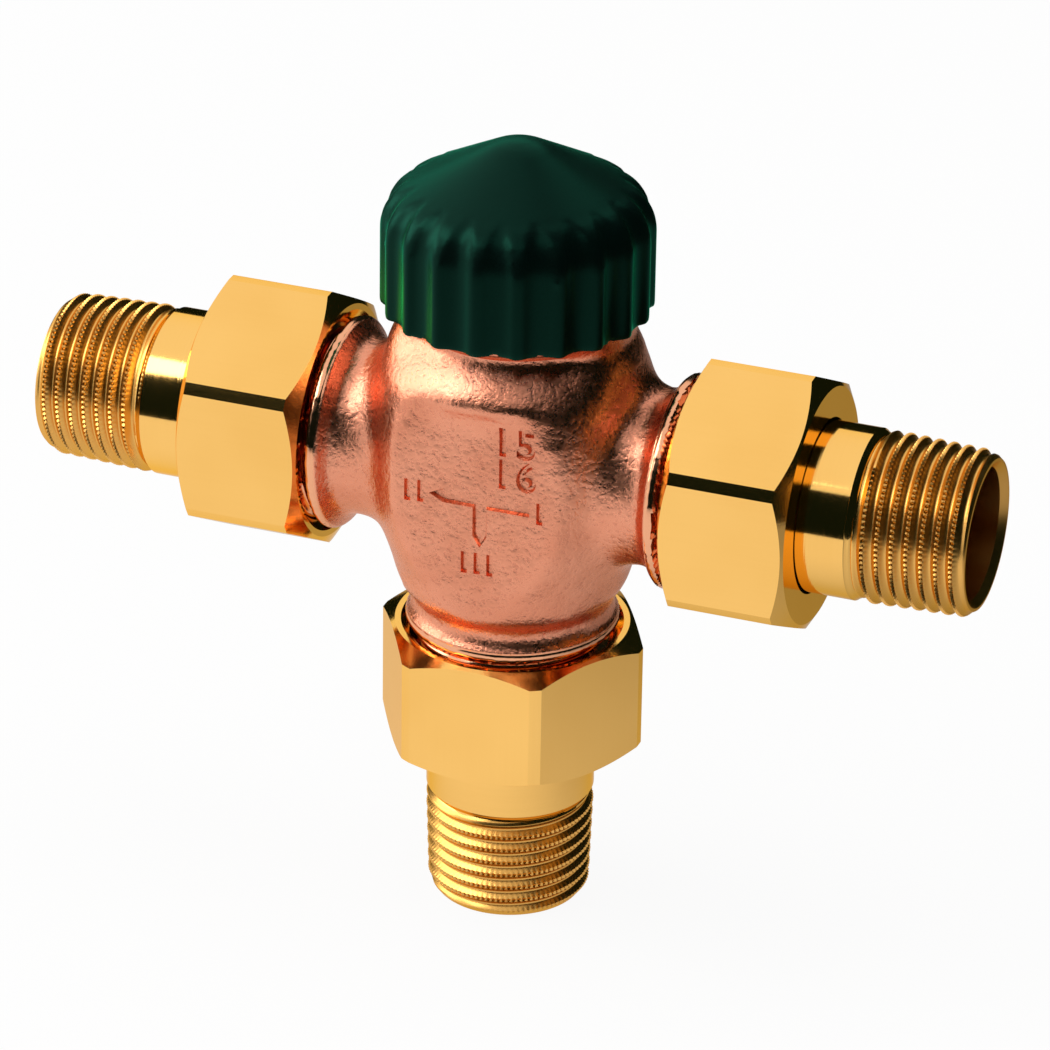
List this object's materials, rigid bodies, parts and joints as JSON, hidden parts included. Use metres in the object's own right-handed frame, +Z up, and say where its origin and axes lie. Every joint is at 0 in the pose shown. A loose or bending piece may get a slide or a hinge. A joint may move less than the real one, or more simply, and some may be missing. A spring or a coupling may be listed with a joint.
{
  "type": "three-way diverter valve",
  "caption": "Three-way diverter valve: cast tee body with union nuts and threaded tails on each port, and a fluted hand cap that presses the sprung stem to divert the flow.",
  "frame": {"origin": "centre of the lower tail's mouth, on the stem axis", "axes": "+Z up along the stem, +X out of the inlet port, -Y out of the marked front"},
  "size_m": [0.12, 0.0332, 0.1012],
  "materials": {
    "gunmetal": "sand cast, grit blasted",
    "brass": "turned and polished",
    "steel": "turned stainless",
    "rubber": "moulded",
    "fibre": "pressed fibre sheet",
    "green_plastic": "satin moulded"
  },
  "bodies": {
    "valve_body": {"valve_body": "gunmetal", "bonnet": "brass", "bonnet_o_ring": "rubber", "gland_nut": "brass", "stem_o_ring_lower": "rubber", "stem_o_ring_upper": "rubber", "return_spring": "steel"},
    "stem": {"stem": "steel", "upper_disc": "brass", "upper_seal": "rubber", "spacer_sleeve": "brass", "lower_disc": "brass", "lower_seal": "rubber", "lock_nut": "steel"},
    "cap": {"protective_cap": "green_plastic"},
    "right_tail": {"tail_right": "brass", "gasket_right": "fibre"},
    "right_nut": {"union_nut_right": "brass"},
    "left_tail": {"tail_left": "brass", "gasket_left": "fibre"},
    "left_nut": {"union_nut_left": "brass"},
    "bottom_tail": {"tail_bottom": "brass", "gasket_bottom": "fibre"},
    "bottom_nut": {"union_nut_bottom": "brass"}
  },
  "joints": [
    {"name": "stem_slide", "type": "slide", "parent": "valve_body", "child": "stem", "axis": [0, 0, 1], "range_m": [-0.0028, 0], "deforming": ["return_spring"]},
    {"name": "cap_turn", "type": "hinge", "parent": "stem", "child": "cap", "pos_m": [0, 0, 0.09], "axis": [0, 0, 1], "range_deg": [-600, 0]},
    {"name": "right_tail_slide", "type": "slide", "parent": "valve_body", "child": "right_tail", "axis": [1, 0, 0], "range_m": [0, 0.00738]},
    {"name": "right_nut_turn", "type": "hinge", "parent": "right_tail", "child": "right_nut", "pos_m": [0.03, 0, 0.06], "axis": [1, 0, 0], "range_deg": [0, 1440]},
    {"name": "left_tail_slide", "type": "slide", "parent": "valve_body", "child": "left_tail", "axis": [-1, 0, 0], "range_m": [0, 0.00738]},
    {"name": "left_nut_turn", "type": "hinge", "parent": "left_tail", "child": "left_nut", "pos_m": [-0.03, 0, 0.06], "axis": [-1, 0, 0], "range_deg": [0, 1440]},
    {"name": "bottom_tail_slide", "type": "slide", "parent": "valve_body", "child": "bottom_tail", "axis": [0, 0, -1], "range_m": [0, 0.00738]},
    {"name": "bottom_nut_turn", "type": "hinge", "parent": "bottom_tail", "child": "bottom_nut", "pos_m": [0, 0, 0.03], "axis": [0, 0, -1], "range_deg": [0, 1440]}
  ],
  "couplings": [
    {"joint": "stem_slide", "follows": "cap_turn", "m_per_rad": 0.00023873},
    {"joint": "right_tail_slide", "follows": "right_nut_turn", "m_per_rad": 0.00028871},
    {"joint": "left_tail_slide", "follows": "left_nut_turn", "m_per_rad": 0.00028871},
    {"joint": "bottom_tail_slide", "follows": "bottom_nut_turn", "m_per_rad": 0.00028871}
  ]
}
